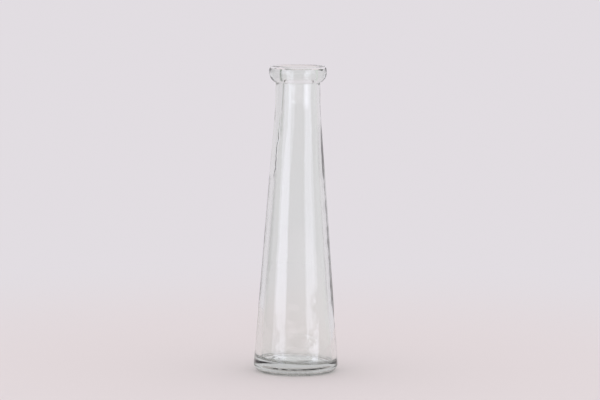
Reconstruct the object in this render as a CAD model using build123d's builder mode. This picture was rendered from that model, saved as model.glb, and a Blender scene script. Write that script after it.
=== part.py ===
from build123d import *

import os
from math import asin, atan, degrees, tan

# A tall bottle vase of clear moulded glass: a long straight cone on a thick base, drawn in
# to a short neck, with a heavy rounded ring for a lip.
#
# In the hand it is one piece of glass. The three sub-parts are the stretches of that glass
# that the parts of its mould form: the neck ring forms the lip, the two mould halves form
# the wall, and the bottom plate forms the base. They meet face to face.
#
# Frame: origin on the table, on the vase's axis, with +Z up along the axis.

# Overall sizes, in millimetres
overall_height = 200.0
base_radius = 27.9  # where the line of the cone meets the table, before the heel is rounded
neck_radius = 14.6

# Lip ring
lip_radius = 18.8
lip_height = 10.7  # from the rim down to the crease under the lip
lip_widest_depth = 3.9  # from the rim down to where the lip is widest
lip_bead_round = 7.5  # the bulge of the lip's side above its widest point
rim_outer_round = 2.8
rim_inner_round = 2.6
mouth_radius = 11.6
mouth_taper_length = 2.2  # from the foot of the straight mouth down to the crease
mouth_foot_round = 2.0

# Outside of the wall
neck_length = 14.0  # from the crease down to where the lines of neck and cone cross
neck_blend_length = 9.5  # how far the blend into the cone reaches from that crossing

# Inside of the wall
throat_top_radius = 10.7  # at the crease
throat_radius = 11.2  # where the lines of throat and inner cone cross
throat_length = 14.0  # from the crease down to that crossing
throat_blend_length = 9.5
floor_wall = 3.4  # thickness of the wall at the level of the inner corner

# Base
floor_thickness = 7.0  # height of the inner corner, before it is rounded
floor_dome = 4.2  # how far the middle of the inner floor stands above that corner
floor_corner_round = 2.6
floor_collar = 1.2  # straight wall above the inner floor that still belongs to the base
heel_round = 4.7
bearing_width = 5.8  # from the unrounded heel corner in to the edge of the push-up
bearing_edge_round = 0.3
push_up = 3.3  # rise of the hollow under the base
push_up_run = 10.6  # from the edge of the push-up in to its flat middle

# Heights of the crease, of the mouth's foot and of the two crossings
crease_z = overall_height - lip_height
mouth_foot_z = crease_z + mouth_taper_length
neck_cross_z = crease_z - neck_length
throat_cross_z = crease_z - throat_length

# The outer and inner cones and the throat, as radius lost for each millimetre of height
outer_taper = (base_radius - neck_radius) / neck_cross_z
floor_radius = base_radius - outer_taper * floor_thickness - floor_wall
inner_taper = (floor_radius - throat_radius) / (throat_cross_z - floor_thickness)
throat_taper = (throat_radius - throat_top_radius) / throat_length
outer_turn = atan(outer_taper)
inner_turn = atan(inner_taper) - atan(throat_taper)

# The base ends a little above the raised middle of its inner floor
floor_top_z = floor_thickness + floor_dome
base_top_z = floor_top_z + floor_collar
base_top_outer_radius = base_radius - outer_taper * base_top_z
base_top_inner_radius = floor_radius - inner_taper * (base_top_z - floor_thickness)


def blend_radius(blend_length, turn):
    """Radius of the arc that rounds a turn to either side and reaches blend_length from its corner."""
    return blend_length / tan(abs(turn) / 2)


# Lip ring: a flat rim and a bulging side, which runs on below its widest point to the crease
widest_z = overall_height - lip_widest_depth
bead_turn = asin(lip_widest_depth / lip_bead_round)
with BuildPart() as lip_ring:
    with BuildSketch(Plane.XZ) as lip_section:
        with BuildLine():
            bead = CenterArc(
                (lip_radius - lip_bead_round, widest_z),
                lip_bead_round,
                start_angle=0,
                arc_size=degrees(bead_turn),
            )
            underside = TangentArc(bead @ 0, (neck_radius, crease_z), tangent=(0, -1))
            FilletPolyline(
                bead @ 1,
                (mouth_radius, overall_height),
                (mouth_radius, mouth_foot_z),
                (throat_top_radius, crease_z),
                underside @ 1,
                radius=(rim_inner_round, mouth_foot_round, 0),
            )
        make_face()
        rim_edge = lip_section.vertices().group_by(Axis.Y)[-1].sort_by(Axis.X)[-1]
        fillet(rim_edge, radius=rim_outer_round)
    revolve(axis=Axis.Z)
lip_ring.part.label = "lip_ring"

# Wall: of one thickness along the cone, and a little thicker in the neck, where the throat narrows
with BuildPart() as tapered_wall:
    with BuildSketch(Plane.XZ) as wall_section:
        with BuildLine():
            outside = FilletPolyline(
                (neck_radius, crease_z),
                (neck_radius, neck_cross_z),
                (base_top_outer_radius, base_top_z),
                radius=blend_radius(neck_blend_length, outer_turn),
            )
            inside = FilletPolyline(
                (throat_top_radius, crease_z),
                (throat_radius, throat_cross_z),
                (base_top_inner_radius, base_top_z),
                radius=blend_radius(throat_blend_length, inner_turn),
            )
            Line(outside @ 0, inside @ 0)
            Line(outside @ 1, inside @ 1)
        make_face()
    revolve(axis=Axis.Z)
tapered_wall.part.label = "tapered_wall"

# Base: the heel, the ring that stands on the table, the hollow under it and the inner floor,
# which is raised in the middle much as the hollow is
push_up_radius = base_radius - bearing_width
push_up_flat_radius = push_up_radius - push_up_run
with BuildPart() as base:
    with BuildSketch(Plane.XZ) as base_section:
        with BuildLine():
            shell = FilletPolyline(
                (push_up_radius, 0),
                (base_radius, 0),
                (base_top_outer_radius, base_top_z),
                (base_top_inner_radius, base_top_z),
                (floor_radius, floor_thickness),
                radius=(heel_round, 0, 0),
            )
            middle = Polyline(
                (0, floor_top_z),
                (0, push_up),
                (push_up_flat_radius, push_up),
            )
            TangentArc(middle @ 0, shell @ 1, tangent=(1, 0))
            TangentArc(middle @ 1, shell @ 0, tangent=(1, 0))
        make_face()
        inner_corner = base_section.vertices().sort_by_distance((floor_radius, floor_thickness))[0]
        fillet(inner_corner, radius=floor_corner_round)
        bearing_edge = base_section.vertices().sort_by_distance((push_up_radius, 0))[0]
        fillet(bearing_edge, radius=bearing_edge_round)
    revolve(axis=Axis.Z)
base.part.label = "base"

os.makedirs("parts", exist_ok=True)
for piece in (lip_ring.part, tapered_wall.part, base.part):
    export_step(piece, f"parts/{piece.label}.step")
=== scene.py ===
from math import asin, atan, atan2, cos, exp, pi, radians, sin, sqrt, tan

import bpy
from mathutils import Matrix, Quaternion, Vector, noise


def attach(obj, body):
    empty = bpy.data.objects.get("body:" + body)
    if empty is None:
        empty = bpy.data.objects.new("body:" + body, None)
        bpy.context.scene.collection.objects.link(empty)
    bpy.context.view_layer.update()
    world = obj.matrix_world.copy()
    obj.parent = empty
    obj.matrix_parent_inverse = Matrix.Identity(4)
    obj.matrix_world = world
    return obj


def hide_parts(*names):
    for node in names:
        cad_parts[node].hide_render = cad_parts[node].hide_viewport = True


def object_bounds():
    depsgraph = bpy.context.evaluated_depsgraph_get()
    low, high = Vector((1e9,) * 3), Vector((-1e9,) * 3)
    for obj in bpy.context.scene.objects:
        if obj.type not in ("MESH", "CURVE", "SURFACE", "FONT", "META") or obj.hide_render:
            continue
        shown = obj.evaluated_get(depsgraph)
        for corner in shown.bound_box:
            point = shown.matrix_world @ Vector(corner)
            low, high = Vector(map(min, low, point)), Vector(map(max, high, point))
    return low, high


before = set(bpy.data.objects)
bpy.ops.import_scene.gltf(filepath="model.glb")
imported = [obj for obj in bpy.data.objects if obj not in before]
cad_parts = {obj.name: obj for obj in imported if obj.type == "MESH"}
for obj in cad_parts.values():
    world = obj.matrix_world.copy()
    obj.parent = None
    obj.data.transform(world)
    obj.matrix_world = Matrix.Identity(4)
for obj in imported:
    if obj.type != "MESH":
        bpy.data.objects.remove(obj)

# A tall bottle vase of clear moulded glass. In the hand it is one piece of glass, so one mesh
# stands for the three nodes of the frame, with the unevenness that moulded glass has inside.
# Lengths are in metres.

cad_low, cad_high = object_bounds()
mm = 0.001

# Sizes of the glass, as in the part, apart from the rounds of the crease and of the inner
# floor's corner, which are fitted to the photograph here
overall_height = cad_high.z
lip_radius = 18.8 * mm
lip_height = 10.7 * mm
lip_widest_depth = 3.9 * mm
lip_bead_round = 7.5 * mm
rim_outer_round = 2.8 * mm
rim_inner_round = 2.6 * mm
mouth_radius = 11.6 * mm
mouth_taper_length = 2.2 * mm
mouth_foot_round = 2.0 * mm
throat_top_radius = 10.7 * mm
throat_radius = 11.2 * mm
throat_length = 14.0 * mm
throat_blend_length = 9.5 * mm
crease_round = 0.5 * mm
neck_radius = 14.6 * mm
neck_length = 14.0 * mm
neck_blend_length = 9.5 * mm
base_radius = 27.9 * mm
floor_wall = 3.4 * mm
floor_thickness = 7.0 * mm
floor_corner_round = 1.9 * mm
floor_dome = 4.2 * mm
heel_round = 4.7 * mm
bearing_width = 5.8 * mm
bearing_edge_round = 0.3 * mm
push_up = 3.3 * mm
push_up_run = 10.6 * mm

# Heights, tapers and radii that follow from them
crease_z = overall_height - lip_height
mouth_foot_z = crease_z + mouth_taper_length
neck_cross_z = crease_z - neck_length
throat_cross_z = crease_z - throat_length
widest_z = overall_height - lip_widest_depth
outer_taper = (base_radius - neck_radius) / neck_cross_z
floor_radius = base_radius - outer_taper * floor_thickness - floor_wall
inner_taper = (floor_radius - throat_radius) / (throat_cross_z - floor_thickness)
throat_taper = (throat_radius - throat_top_radius) / throat_length
bead_turn = asin(lip_widest_depth / lip_bead_round)
rim_radius = lip_radius - lip_bead_round * (1 - cos(bead_turn))
rim_middle = ((mouth_radius + rim_radius) / 2, overall_height)
push_up_radius = base_radius - bearing_width
push_up_flat_radius = push_up_radius - push_up_run

# How finely the glass is divided
segments = 384
outside_step = 2.0 * mm
inside_step = 0.8 * mm
arc_step = radians(7)
fewest_arc_steps = 3
bow_steps = 16
corner_steps = 12
bead_steps = 18


def blend_radius(blend_length, turn):
    """Radius of the arc that rounds a turn and reaches blend_length from its corner."""
    return blend_length / tan(turn / 2)


def smooth_step(low, high, value):
    """Rises smoothly from 0 at low to 1 at high."""
    share = min(1.0, max(0.0, (value - low) / (high - low)))
    return share * share * (3 - 2 * share)


def turn_between(turn, middle):
    """The turn from middle, between half a turn back and half a turn on."""
    return (turn - middle + pi) % (2 * pi) - pi


def rounded(corners, radii, ring_step):
    """The outline through the corners, each rounded by its radius, divided into short steps."""
    corners = [Vector(corner) for corner in corners]
    outline = [corners[0]]
    for before, corner, after, radius in zip(corners, corners[1:], corners[2:], radii):
        if radius == 0:
            outline.append(corner)
            continue
        inward = (before - corner).normalized()
        outward = (after - corner).normalized()
        turn = pi - inward.angle(outward)
        reach = radius * tan(turn / 2)
        centre = corner + (inward + outward).normalized() * (radius / cos(turn / 2))
        start = corner + inward * reach - centre
        side = 1 if inward.x * outward.y - inward.y * outward.x < 0 else -1
        steps = max(fewest_arc_steps, int(radius * turn / ring_step) + 1, int(turn / arc_step) + 1)
        for step in range(steps + 1):
            swing = side * turn * step / steps
            outline.append(centre + Matrix.Rotation(swing, 2) @ start)
    outline.append(corners[-1])
    divided = [outline[0]]
    for point in outline[1:]:
        begin = divided[-1]
        span = point - begin
        steps = max(1, round(span.length / ring_step))
        divided += [begin + span * step / steps for step in range(1, steps + 1)]
    return divided


def hollow_under_base():
    """Points of the hollow under the base: a flat middle, then an arc down to the bearing ring."""
    radius = (push_up_run ** 2 + push_up ** 2) / (2 * push_up)
    turn = atan2(push_up_run, radius - push_up)
    return [(0, push_up)] + [
        (push_up_flat_radius + radius * sin(turn * step / bow_steps),
         push_up - radius * (1 - cos(turn * step / bow_steps)))
        for step in range(bow_steps + 1)
    ]


def inner_floor():
    """Points of the rounded inner corner, from the wall down, and of the raised floor to its middle."""
    bow = (floor_radius ** 2 + floor_dome ** 2) / (2 * floor_dome)
    bow_middle = Vector((0, floor_thickness + floor_dome - bow))
    along = Vector((-inner_taper, 1)).normalized()
    inward = Vector((-along.y, along.x))
    on_wall = Vector((floor_radius, floor_thickness)) + inward * floor_corner_round - bow_middle
    half = on_wall.dot(along)
    climb = -half + sqrt(half ** 2 - on_wall.length_squared + (bow + floor_corner_round) ** 2)
    centre = bow_middle + on_wall + along * climb
    from_bow = centre - bow_middle
    bow_turn = atan2(from_bow.x, from_bow.y)
    first = atan2(-inward.y, -inward.x)
    last = -pi / 2 - bow_turn
    points = []
    for step in range(corner_steps + 1):
        angle = first + (last - first) * step / corner_steps
        points.append(centre + Vector((cos(angle), sin(angle))) * floor_corner_round)
    for step in range(bow_steps - 1, -1, -1):
        angle = bow_turn * step / bow_steps
        points.append(bow_middle + Vector((sin(angle), cos(angle))) * bow)
    return points


def bead():
    """Points of the lip's side, from above the crease past its widest point to the edge of the rim."""
    overhang = lip_radius - neck_radius
    drop = widest_z - crease_z
    under_round = (overhang ** 2 + drop ** 2) / (2 * overhang)
    under_turn = asin(drop / under_round)
    turns = [(under_round, -under_turn * step / bead_steps) for step in range(bead_steps - 1, 0, -1)]
    turns += [(lip_bead_round, bead_turn * step / bead_steps) for step in range(bead_steps + 1)]
    return [
        (lip_radius - radius * (1 - cos(turn)), widest_z + radius * sin(turn))
        for radius, turn in turns
    ]


def outside_line():
    """The outside of the glass, from the middle of the hollow under it up to the rim."""
    side = bead()
    corners = hollow_under_base() + [
        (base_radius, 0),
        (neck_radius, neck_cross_z),
        (neck_radius, crease_z),
    ] + side + [rim_middle]
    radii = [0] * bow_steps + [
        bearing_edge_round,
        heel_round,
        blend_radius(neck_blend_length, atan(outer_taper)),
        crease_round,
    ] + [0] * (len(side) - 1) + [rim_outer_round]
    return rounded(corners, radii, outside_step)


def inside_line():
    """The inside of the glass, from the rim down to the middle of the floor."""
    floor_points = inner_floor()
    corners = [
        rim_middle,
        (mouth_radius, overall_height),
        (mouth_radius, mouth_foot_z),
        (throat_top_radius, crease_z),
        (throat_radius, throat_cross_z),
    ] + floor_points
    radii = [
        rim_inner_round,
        mouth_foot_round,
        mouth_foot_round,
        blend_radius(throat_blend_length, atan(inner_taper) - atan(throat_taper)),
    ] + [0] * (len(floor_points) - 1)
    return rounded(corners, radii, inside_step)


# Unevenness of the inside, which no mould forms. The bore stands off the middle in the neck and
# at the base.
mouth_shift = 0.5 * mm
neck_shift = 1.0 * mm
neck_shift_low = 125 * mm
neck_shift_high = 165 * mm
body_shift = 0.1 * mm
base_shift = 0.5 * mm
base_shift_low = 12 * mm
base_shift_high = 45 * mm

# The bore swells on one side
swell_depth = 0.3 * mm
swell_z = 150 * mm
swell_half_height = 11 * mm
swell_turn = pi
swell_half_turn = radians(40)

# A thin wrinkle wanders down the bore
wrinkle_depth = 0.45 * mm
wrinkle_half_width = 0.45 * mm
wrinkle_wander = 1.2 * mm
wrinkle_length = 6 * mm
wrinkle_beat = 3 * mm
wrinkle_z = 148 * mm
wrinkle_half_height = 17 * mm
wrinkle_turn = pi + radians(29)
wander_fineness = 0.6

# Faint waves run over the wall, and the floor slopes and sags between these two heights
wave_depth = 0.03 * mm
wave_length = 22 * mm
floor_end_low = 12 * mm
floor_end_high = 30 * mm
floor_slope = 0.054
floor_sag = 2.2 * mm

# How each finer layer of noise follows from the one before
layer_scale = 2
layers = 3


def bore_shift(height):
    """How far the bore stands off the middle at a height."""
    below_mouth = 1 - smooth_step(crease_z, mouth_foot_z, height)
    shift = mouth_shift + (neck_shift - mouth_shift) * below_mouth
    shift = (shift + body_shift) * smooth_step(neck_shift_low, neck_shift_high, height) - body_shift
    return shift + (base_shift + body_shift) * (1 - smooth_step(base_shift_low, base_shift_high, height))


def wrinkle_share(radius, height, turn):
    """How much of the wrinkle's depth a point of the inside has."""
    wander = noise.fractal(Vector((0, 0, height / wrinkle_length)), wander_fineness, layer_scale, layers)
    aside = turn_between(turn, wrinkle_turn) * radius - wrinkle_wander * wander
    along = (height - wrinkle_z) / wrinkle_half_height
    strength = 1 + noise.noise(Vector((1, 0, height / wrinkle_beat)))
    return strength * exp(-along ** 4 - (aside / wrinkle_half_width) ** 2)


def uneven_inside(point, turn):
    """Moves a point of the inside, given as radius and height, to where the uneven glass has it."""
    radius, height = point
    side = Vector((cos(turn), sin(turn), 0))
    place = side * radius + Vector((0, 0, height))
    below_mouth = 1 - smooth_step(crease_z, mouth_foot_z, height)
    above_floor = smooth_step(floor_end_low, floor_end_high, height)
    from_swell = turn_between(turn, swell_turn)
    swell = exp(-((height - swell_z) / swell_half_height) ** 2 - (from_swell / swell_half_turn) ** 2)
    wrinkle = wrinkle_share(radius, height, turn)
    wave = noise.noise(place / wave_length) * below_mouth * above_floor
    place += side * (swell_depth * swell + wrinkle_depth * wrinkle + wave_depth * wave)
    place.x += bore_shift(height)
    place.z -= floor_slope * place.x * (1 - above_floor)
    place.z -= floor_sag * max(0.0, 1 - (radius / floor_radius) ** 2) * (1 - above_floor)
    return place


# The bearing ring is knurled, so that the vase stands on a ring of small uneven teeth
knurls = 64
knurl_depth = 0.7 * mm
knurl_height = 1.4 * mm
knurl_mean_share = 0.75
knurl_spread_share = 0.5
knurl_waves = 9
ring_edge = 1.2 * mm

# The mould leaves an uneven groove in the crease under the lip
seam_depth = 0.16 * mm
seam_half_height = 0.18 * mm
seam_waves = 5
seam_fineness = 0.5


def uneven_outside(point, turn):
    """Moves a point of the outside, given as radius and height, for the groove and the ring of teeth."""
    radius, height = point
    side = Vector((cos(turn), sin(turn), 0))
    place = side * radius + Vector((0, 0, height))
    on_ring = smooth_step(push_up_radius - ring_edge, push_up_radius, radius)
    on_ring *= 1 - smooth_step(0, knurl_height, height)
    size_share = knurl_mean_share + knurl_spread_share * noise.noise(side * knurl_waves)
    tooth = (1 - cos(knurls * turn)) / 2
    place.z += knurl_depth * on_ring * size_share * tooth
    seam = exp(-((height - crease_z) / seam_half_height) ** 2)
    seam *= 1 + noise.fractal(side * seam_waves, seam_fineness, layer_scale, layers)
    place -= side * (seam_depth * seam)
    return place


def make_glass():
    """Revolves the two lines into one closed mesh."""
    outside = outside_line()
    inside = inside_line()
    turns = [2 * pi * step / segments for step in range(segments)]
    rings = [[uneven_outside(point, turn) for turn in turns] for point in outside[1:]]
    rings += [[uneven_inside(point, turn) for turn in turns] for point in inside[1:-1]]
    points = [place for ring in rings for place in ring]
    bottom_middle = len(points)
    floor_middle = bottom_middle + 1
    points.append(uneven_outside(outside[0], 0))
    points.append(uneven_inside(inside[-1], 0))
    faces = []
    last_ring = (len(rings) - 1) * segments
    for step in range(segments):
        beside = (step + 1) % segments
        faces.append((bottom_middle, beside, step))
        for ring in range(len(rings) - 1):
            lower = ring * segments
            upper = lower + segments
            faces.append((lower + step, lower + beside, upper + beside, upper + step))
        faces.append((floor_middle, last_ring + step, last_ring + beside))
    mesh = bpy.data.meshes.new("vase_glass")
    mesh.from_pydata(points, [], faces)
    mesh.shade_smooth()
    mesh.validate()
    glass = bpy.data.objects.new("vase_glass", mesh)
    bpy.context.scene.collection.objects.link(glass)
    return glass


# A Mix node has sockets for each kind of data, and these are the ones for colours
first_colour_socket = 6
second_colour_socket = 7
mixed_colour_socket = 2

# A count of bounces is 0 or at least 1
bounced = 0.5


def feed(tree, socket, value):
    """Links a socket to the output of another node, or sets it to a plain value."""
    if isinstance(value, bpy.types.NodeSocket):
        tree.links.new(value, socket)
    else:
        socket.default_value = value


def worked_out(tree, operation, *values):
    """The result of an operation on one value or more."""
    node = tree.nodes.new("ShaderNodeMath")
    node.operation = operation
    for socket, value in zip(node.inputs, values):
        feed(tree, socket, value)
    return node.outputs["Value"]


def mapped(tree, value, span, top=1.0, smooth=False):
    """Runs from 0 at the start of a span to top at its end."""
    node = tree.nodes.new("ShaderNodeMapRange")
    if smooth:
        node.interpolation_type = "SMOOTHSTEP"
    start, end = span
    node.inputs["From Min"].default_value = start
    node.inputs["From Max"].default_value = end
    node.inputs["To Max"].default_value = top
    tree.links.new(value, node.inputs["Value"])
    return node.outputs["Result"]


def mixed_colours(tree, factor, first, second):
    """Goes from the first colour to the second."""
    node = tree.nodes.new("ShaderNodeMix")
    node.data_type = "RGBA"
    tree.links.new(factor, node.inputs["Factor"])
    feed(tree, node.inputs[first_colour_socket], first)
    feed(tree, node.inputs[second_colour_socket], second)
    return node.outputs[mixed_colour_socket]


def mixed_shaders(tree, factor, first, second):
    """Goes from the first shader to the second."""
    node = tree.nodes.new("ShaderNodeMixShader")
    fac, first_socket, second_socket = node.inputs
    tree.links.new(factor, fac)
    tree.links.new(first, first_socket)
    tree.links.new(second, second_socket)
    return node.outputs["Shader"]


def cloudy(tree, coordinates, scale, detail):
    """Soft noise."""
    node = tree.nodes.new("ShaderNodeTexNoise")
    node.inputs["Scale"].default_value = scale
    node.inputs["Detail"].default_value = detail
    tree.links.new(coordinates, node.inputs["Vector"])
    return node.outputs["Fac"]


def distance_from_middle(tree, place):
    """How far a place is from the origin."""
    node = tree.nodes.new("ShaderNodeVectorMath")
    node.operation = "LENGTH"
    tree.links.new(place, node.inputs[0])
    return node.outputs["Value"]


def split_place(tree, place):
    """The three parts of a place."""
    node = tree.nodes.new("ShaderNodeSeparateXYZ")
    tree.links.new(place, node.inputs["Vector"])
    return node.outputs


# Glass: clear, with faint streaks and ripples, and a faint green cast where it is thick
glass_ior = 1.51
streak_scale = 140
streak_detail = 2
streak_dark_colour = (0.978, 0.995, 0.980, 1)
streak_light_colour = (0.992, 1, 0.994, 1)
haze_span = (0.55, 0.85)
haze_roughness = 0.02
ripple_scale = 90
ripple_detail = 1
ripple_strength = 0.3
ripple_depth = 0.3 * mm
absorbed_colour = (0.26, 0.35, 0.275, 1)
absorbed_density = 9

# The ring that it stands on is ground, and dark grey in grains up to the foot of the heel: painted
# contact shade where the glass meets the floor, together with soil
ground_roughness = 0.4
soil_and_contact_shade_colour = (0.02, 0.02, 0.019, 1)
soil_and_shade_height = 4.0 * mm
grain_scale = 500
grain_detail = 2
grain_span = (0.35, 0.60)

# Light on its way to the floor is dimmed by this at each surface of the glass
shade_colour = (0.76, 0.78, 0.765, 1)


def soil_and_contact_shade_share(tree, place):
    """Grains of soil and painted contact shade on the ring and the foot of the heel, and none on the
    hollow inside the ring.
    """
    parts = split_place(tree, place)
    low = mapped(tree, parts["Z"], (soil_and_shade_height, 0))
    across = tree.nodes.new("ShaderNodeCombineXYZ")
    tree.links.new(parts["X"], across.inputs["X"])
    tree.links.new(parts["Y"], across.inputs["Y"])
    from_axis = distance_from_middle(tree, across.outputs["Vector"])
    outer = mapped(tree, from_axis, (push_up_radius - ring_edge, push_up_radius))
    grains = mapped(tree, cloudy(tree, place, grain_scale, grain_detail), grain_span)
    return worked_out(tree, "MULTIPLY", worked_out(tree, "MULTIPLY", low, outer), grains)


def glass_material():
    """Clear moulded soda-lime glass on a ground ring."""
    material = bpy.data.materials.new("clear_glass")
    material.use_nodes = True
    tree = material.node_tree
    output = tree.nodes["Material Output"]
    shader = tree.nodes["Principled BSDF"]
    shader.inputs["Transmission Weight"].default_value = 1.0
    shader.inputs["IOR"].default_value = glass_ior
    place = tree.nodes.new("ShaderNodeTexCoord").outputs["Object"]
    streaks = cloudy(tree, place, streak_scale, streak_detail)
    tint = tree.nodes.new("ShaderNodeValToRGB")
    dark_end, light_end = tint.color_ramp.elements
    dark_end.color = streak_dark_colour
    light_end.color = streak_light_colour
    tree.links.new(streaks, tint.inputs["Fac"])
    # The glass's colour turns dark grey in grains on the ring and the heel's foot: painted contact shade
    # and soil
    colour = mixed_colours(tree, soil_and_contact_shade_share(tree, place), tint.outputs["Color"], soil_and_contact_shade_colour)
    tree.links.new(colour, shader.inputs["Base Color"])
    haze = mapped(tree, streaks, haze_span, haze_roughness)
    ground = mapped(tree, split_place(tree, place)["Z"], (knurl_height, 0), ground_roughness)
    tree.links.new(worked_out(tree, "MAXIMUM", haze, ground), shader.inputs["Roughness"])
    bump = tree.nodes.new("ShaderNodeBump")
    bump.inputs["Strength"].default_value = ripple_strength
    bump.inputs["Distance"].default_value = ripple_depth
    tree.links.new(cloudy(tree, place, ripple_scale, ripple_detail), bump.inputs["Height"])
    tree.links.new(bump.outputs["Normal"], shader.inputs["Normal"])
    path = tree.nodes.new("ShaderNodeLightPath").outputs
    to_floor = worked_out(tree, "MAXIMUM", path["Is Shadow Ray"], path["Is Diffuse Ray"])
    clear = tree.nodes.new("ShaderNodeBsdfTransparent")
    clear.inputs["Color"].default_value = shade_colour
    surface = mixed_shaders(tree, to_floor, shader.outputs["BSDF"], clear.outputs["BSDF"])
    tree.links.new(surface, output.inputs["Surface"])
    absorption = tree.nodes.new("ShaderNodeVolumeAbsorption")
    absorption.inputs["Color"].default_value = absorbed_colour
    absorption.inputs["Density"].default_value = absorbed_density
    tree.links.new(absorption.outputs["Volume"], output.inputs["Volume"])
    return material


# Floor and backdrop: the floor fades more sharply in what the glass shows by reflection
backdrop_colour = (0.759, 0.723, 0.759, 1)
floor_colour = (0.778, 0.706, 0.721, 1)
floor_roughness = 0.9
floor_specular = 0.1
floor_reach = 6.0
floor_fade = (0.12, 0.55)
floor_reflected_fade = (0.27, 0.37)


def floor_material():
    """A pale matt floor that fades into the backdrop."""
    material = bpy.data.materials.new("pale_floor")
    material.use_nodes = True
    material.cycles.emission_sampling = "NONE"
    tree = material.node_tree
    shader = tree.nodes["Principled BSDF"]
    shader.inputs["Base Color"].default_value = floor_colour
    shader.inputs["Roughness"].default_value = floor_roughness
    shader.inputs["Specular IOR Level"].default_value = floor_specular
    place = tree.nodes.new("ShaderNodeTexCoord").outputs["Object"]
    distance = distance_from_middle(tree, place)
    path = tree.nodes.new("ShaderNodeLightPath").outputs
    reflected = worked_out(tree, "GREATER_THAN", path["Glossy Depth"], bounced)
    fade = tree.nodes.new("ShaderNodeMix")
    tree.links.new(reflected, fade.inputs["Factor"])
    tree.links.new(mapped(tree, distance, floor_fade, smooth=True), fade.inputs["A"])
    tree.links.new(mapped(tree, distance, floor_reflected_fade, smooth=True), fade.inputs["B"])
    backdrop = tree.nodes.new("ShaderNodeEmission")
    backdrop.inputs["Color"].default_value = backdrop_colour
    clear = tree.nodes.new("ShaderNodeBsdfTransparent")
    far = mixed_shaders(tree, reflected, backdrop.outputs["Emission"], clear.outputs["BSDF"])
    surface = mixed_shaders(tree, fade.outputs["Result"], shader.outputs["BSDF"], far)
    tree.links.new(surface, tree.nodes["Material Output"].inputs["Surface"])
    return material


def make_floor():
    """A wide flat floor under the vase."""
    mesh = bpy.data.meshes.new("floor")
    corners = [
        (-floor_reach, -floor_reach, 0),
        (floor_reach, -floor_reach, 0),
        (floor_reach, floor_reach, 0),
        (-floor_reach, floor_reach, 0),
    ]
    mesh.from_pydata(corners, [], [range(len(corners))])
    mesh.materials.append(floor_material())
    floor = bpy.data.objects.new("floor", mesh)
    bpy.context.scene.collection.objects.link(floor)


# The room that the glass reflects is bright behind and overhead and dim in front, more so at the
# left. Spans are of the parts of a direction, from where a change starts to where it ends.
dim_left_colour = (0.35, 0.37, 0.35, 1)
dim_right_colour = (0.70, 0.73, 0.70, 1)
dim_span = (-0.6, 0.9)
bright_span = (0.42, 0.58)
diffuse_light_colour = (1, 1, 1, 1)

# A dark card stands low behind the vase, and its upper edge slopes down from a peak to either side
card_colour = (0.12, 0.12, 0.12, 1)
card_peak = 0.20
card_slope = 0.22
card_upper_span = (-0.080, -0.066)
card_lower_span = (-0.20, -0.26)

# A bright table lies in front, just below the horizon
table_colour = (1.2, 1.15, 1.2, 1)
table_front_span = (-0.8, -0.95)
table_upper_span = (-0.004, -0.010)
table_lower_span = (-0.09, -0.05)


def make_world():
    """A pale backdrop all round, and the room that shows where the glass reflects."""
    world = bpy.data.worlds.new("studio")
    bpy.context.scene.world = world
    world.use_nodes = True
    tree = world.node_tree
    direction = split_place(tree, tree.nodes.new("ShaderNodeTexCoord").outputs["Generated"])
    dim_share = mapped(tree, direction["X"], dim_span)
    dim = mixed_colours(tree, dim_share, dim_left_colour, dim_right_colour)
    from_peak = worked_out(tree, "ABSOLUTE", worked_out(tree, "ADD", direction["X"], -card_peak))
    card_height = worked_out(tree, "MULTIPLY_ADD", from_peak, card_slope, direction["Z"])
    over_card = mapped(tree, card_height, card_upper_span, smooth=True)
    under_card = mapped(tree, direction["Z"], card_lower_span, smooth=True)
    off_card = worked_out(tree, "MAXIMUM", over_card, under_card)
    back = mixed_colours(tree, off_card, card_colour, backdrop_colour)
    behind_or_above = worked_out(tree, "MAXIMUM", direction["Y"], direction["Z"])
    room = mixed_colours(tree, mapped(tree, behind_or_above, bright_span, smooth=True), dim, back)
    in_front = mapped(tree, direction["Y"], table_front_span, smooth=True)
    under_horizon = mapped(tree, direction["Z"], table_upper_span, smooth=True)
    over_end = mapped(tree, direction["Z"], table_lower_span, smooth=True)
    in_level = worked_out(tree, "MULTIPLY", under_horizon, over_end)
    on_table = worked_out(tree, "MULTIPLY", in_front, in_level)
    room = mixed_colours(tree, on_table, room, table_colour)
    path = tree.nodes.new("ShaderNodeLightPath").outputs
    reflected = worked_out(tree, "GREATER_THAN", path["Glossy Depth"], bounced)
    scattered = worked_out(tree, "GREATER_THAN", path["Diffuse Depth"], bounced)
    seen = mixed_colours(tree, reflected, backdrop_colour, room)
    lit = mixed_colours(tree, scattered, seen, diffuse_light_colour)
    tree.links.new(lit, tree.nodes["Background"].inputs["Color"])


# Softboxes stand in front of the vase at both sides, each with a low strip below the table's level
left = -1
right = 1
softbox_distance = 1.3
softbox_turn = radians(51)
softbox_slant = radians(1.8)
softbox_width = 0.9
softbox_colour = (0.96, 0.96, 1.12)
softbox_top = 1.1
left_softbox_foot = -0.004
right_softbox_foot = 0.026
strip_foot = -0.045
left_strip_top = -0.007
right_strip_top = -0.0055
left_softbox_radiance = 2.0
right_softbox_radiance = 1.45
left_strip_radiance = 1.8
right_strip_radiance = 2.0


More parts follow.
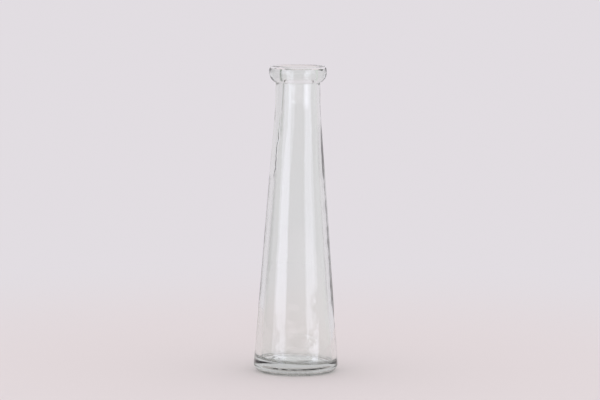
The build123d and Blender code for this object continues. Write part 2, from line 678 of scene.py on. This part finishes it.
def make_softbox(name, side, low, high, radiance):
    """A softbox in front of the vase, to one side, between two heights."""
    data = bpy.data.lights.new(name, "AREA")
    data.shape = "RECTANGLE"
    data.size = softbox_width
    data.size_y = high - low
    data.color = softbox_colour
    data.energy = radiance * pi * data.size * data.size_y
    lamp = bpy.data.objects.new(name, data)
    bpy.context.scene.collection.objects.link(lamp)
    outward = Vector((side * sin(softbox_turn), -cos(softbox_turn), 0))
    lamp.location = outward * softbox_distance + Vector((0, 0, (low + high) / 2))
    lamp.rotation_mode = "QUATERNION"
    slant = Quaternion((0, 0, 1), side * softbox_slant)
    lamp.rotation_quaternion = outward.to_track_quat("Z", "Y") @ slant
    lamp.visible_camera = False
    lamp.visible_diffuse = False


# The photograph's view: a long lens, a little above the vase and rolled a little
camera_place = (0.002, -1.9, 0.3195)
camera_pitch = radians(6.222)
camera_roll = radians(0.45)
camera_lens = 175.7
camera_sensor_width = 36.0


def make_camera():
    """The camera at the photograph's angle."""
    data = bpy.data.cameras.new("camera")
    data.sensor_width = camera_sensor_width
    data.lens = camera_lens
    camera = bpy.data.objects.new("camera", data)
    bpy.context.scene.collection.objects.link(camera)
    turn = Matrix.Rotation(pi / 2 - camera_pitch, 4, "X") @ Matrix.Rotation(camera_roll, 4, "Z")
    camera.matrix_world = Matrix.Translation(camera_place) @ turn
    bpy.context.scene.camera = camera


glass = make_glass()
glass.data.materials.append(glass_material())
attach(glass, "root")
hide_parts("lip_ring", "tapered_wall", "base")
make_floor()
make_world()
make_softbox("left_softbox", left, left_softbox_foot, softbox_top, left_softbox_radiance)
make_softbox("right_softbox", right, right_softbox_foot, softbox_top, right_softbox_radiance)
make_softbox("left_low_strip", left, strip_foot, left_strip_top, left_strip_radiance)
make_softbox("right_low_strip", right, strip_foot, right_strip_top, right_strip_radiance)
make_camera()

# Light passes many surfaces of glass. Its own material lets light through to the floor, so
# refractive caustics are off.
scene = bpy.context.scene
scene.view_settings.view_transform = "Standard"
scene.cycles.caustics_refractive = False
scene.cycles.max_bounces = 24
scene.cycles.transmission_bounces = 24
scene.cycles.glossy_bounces = 16
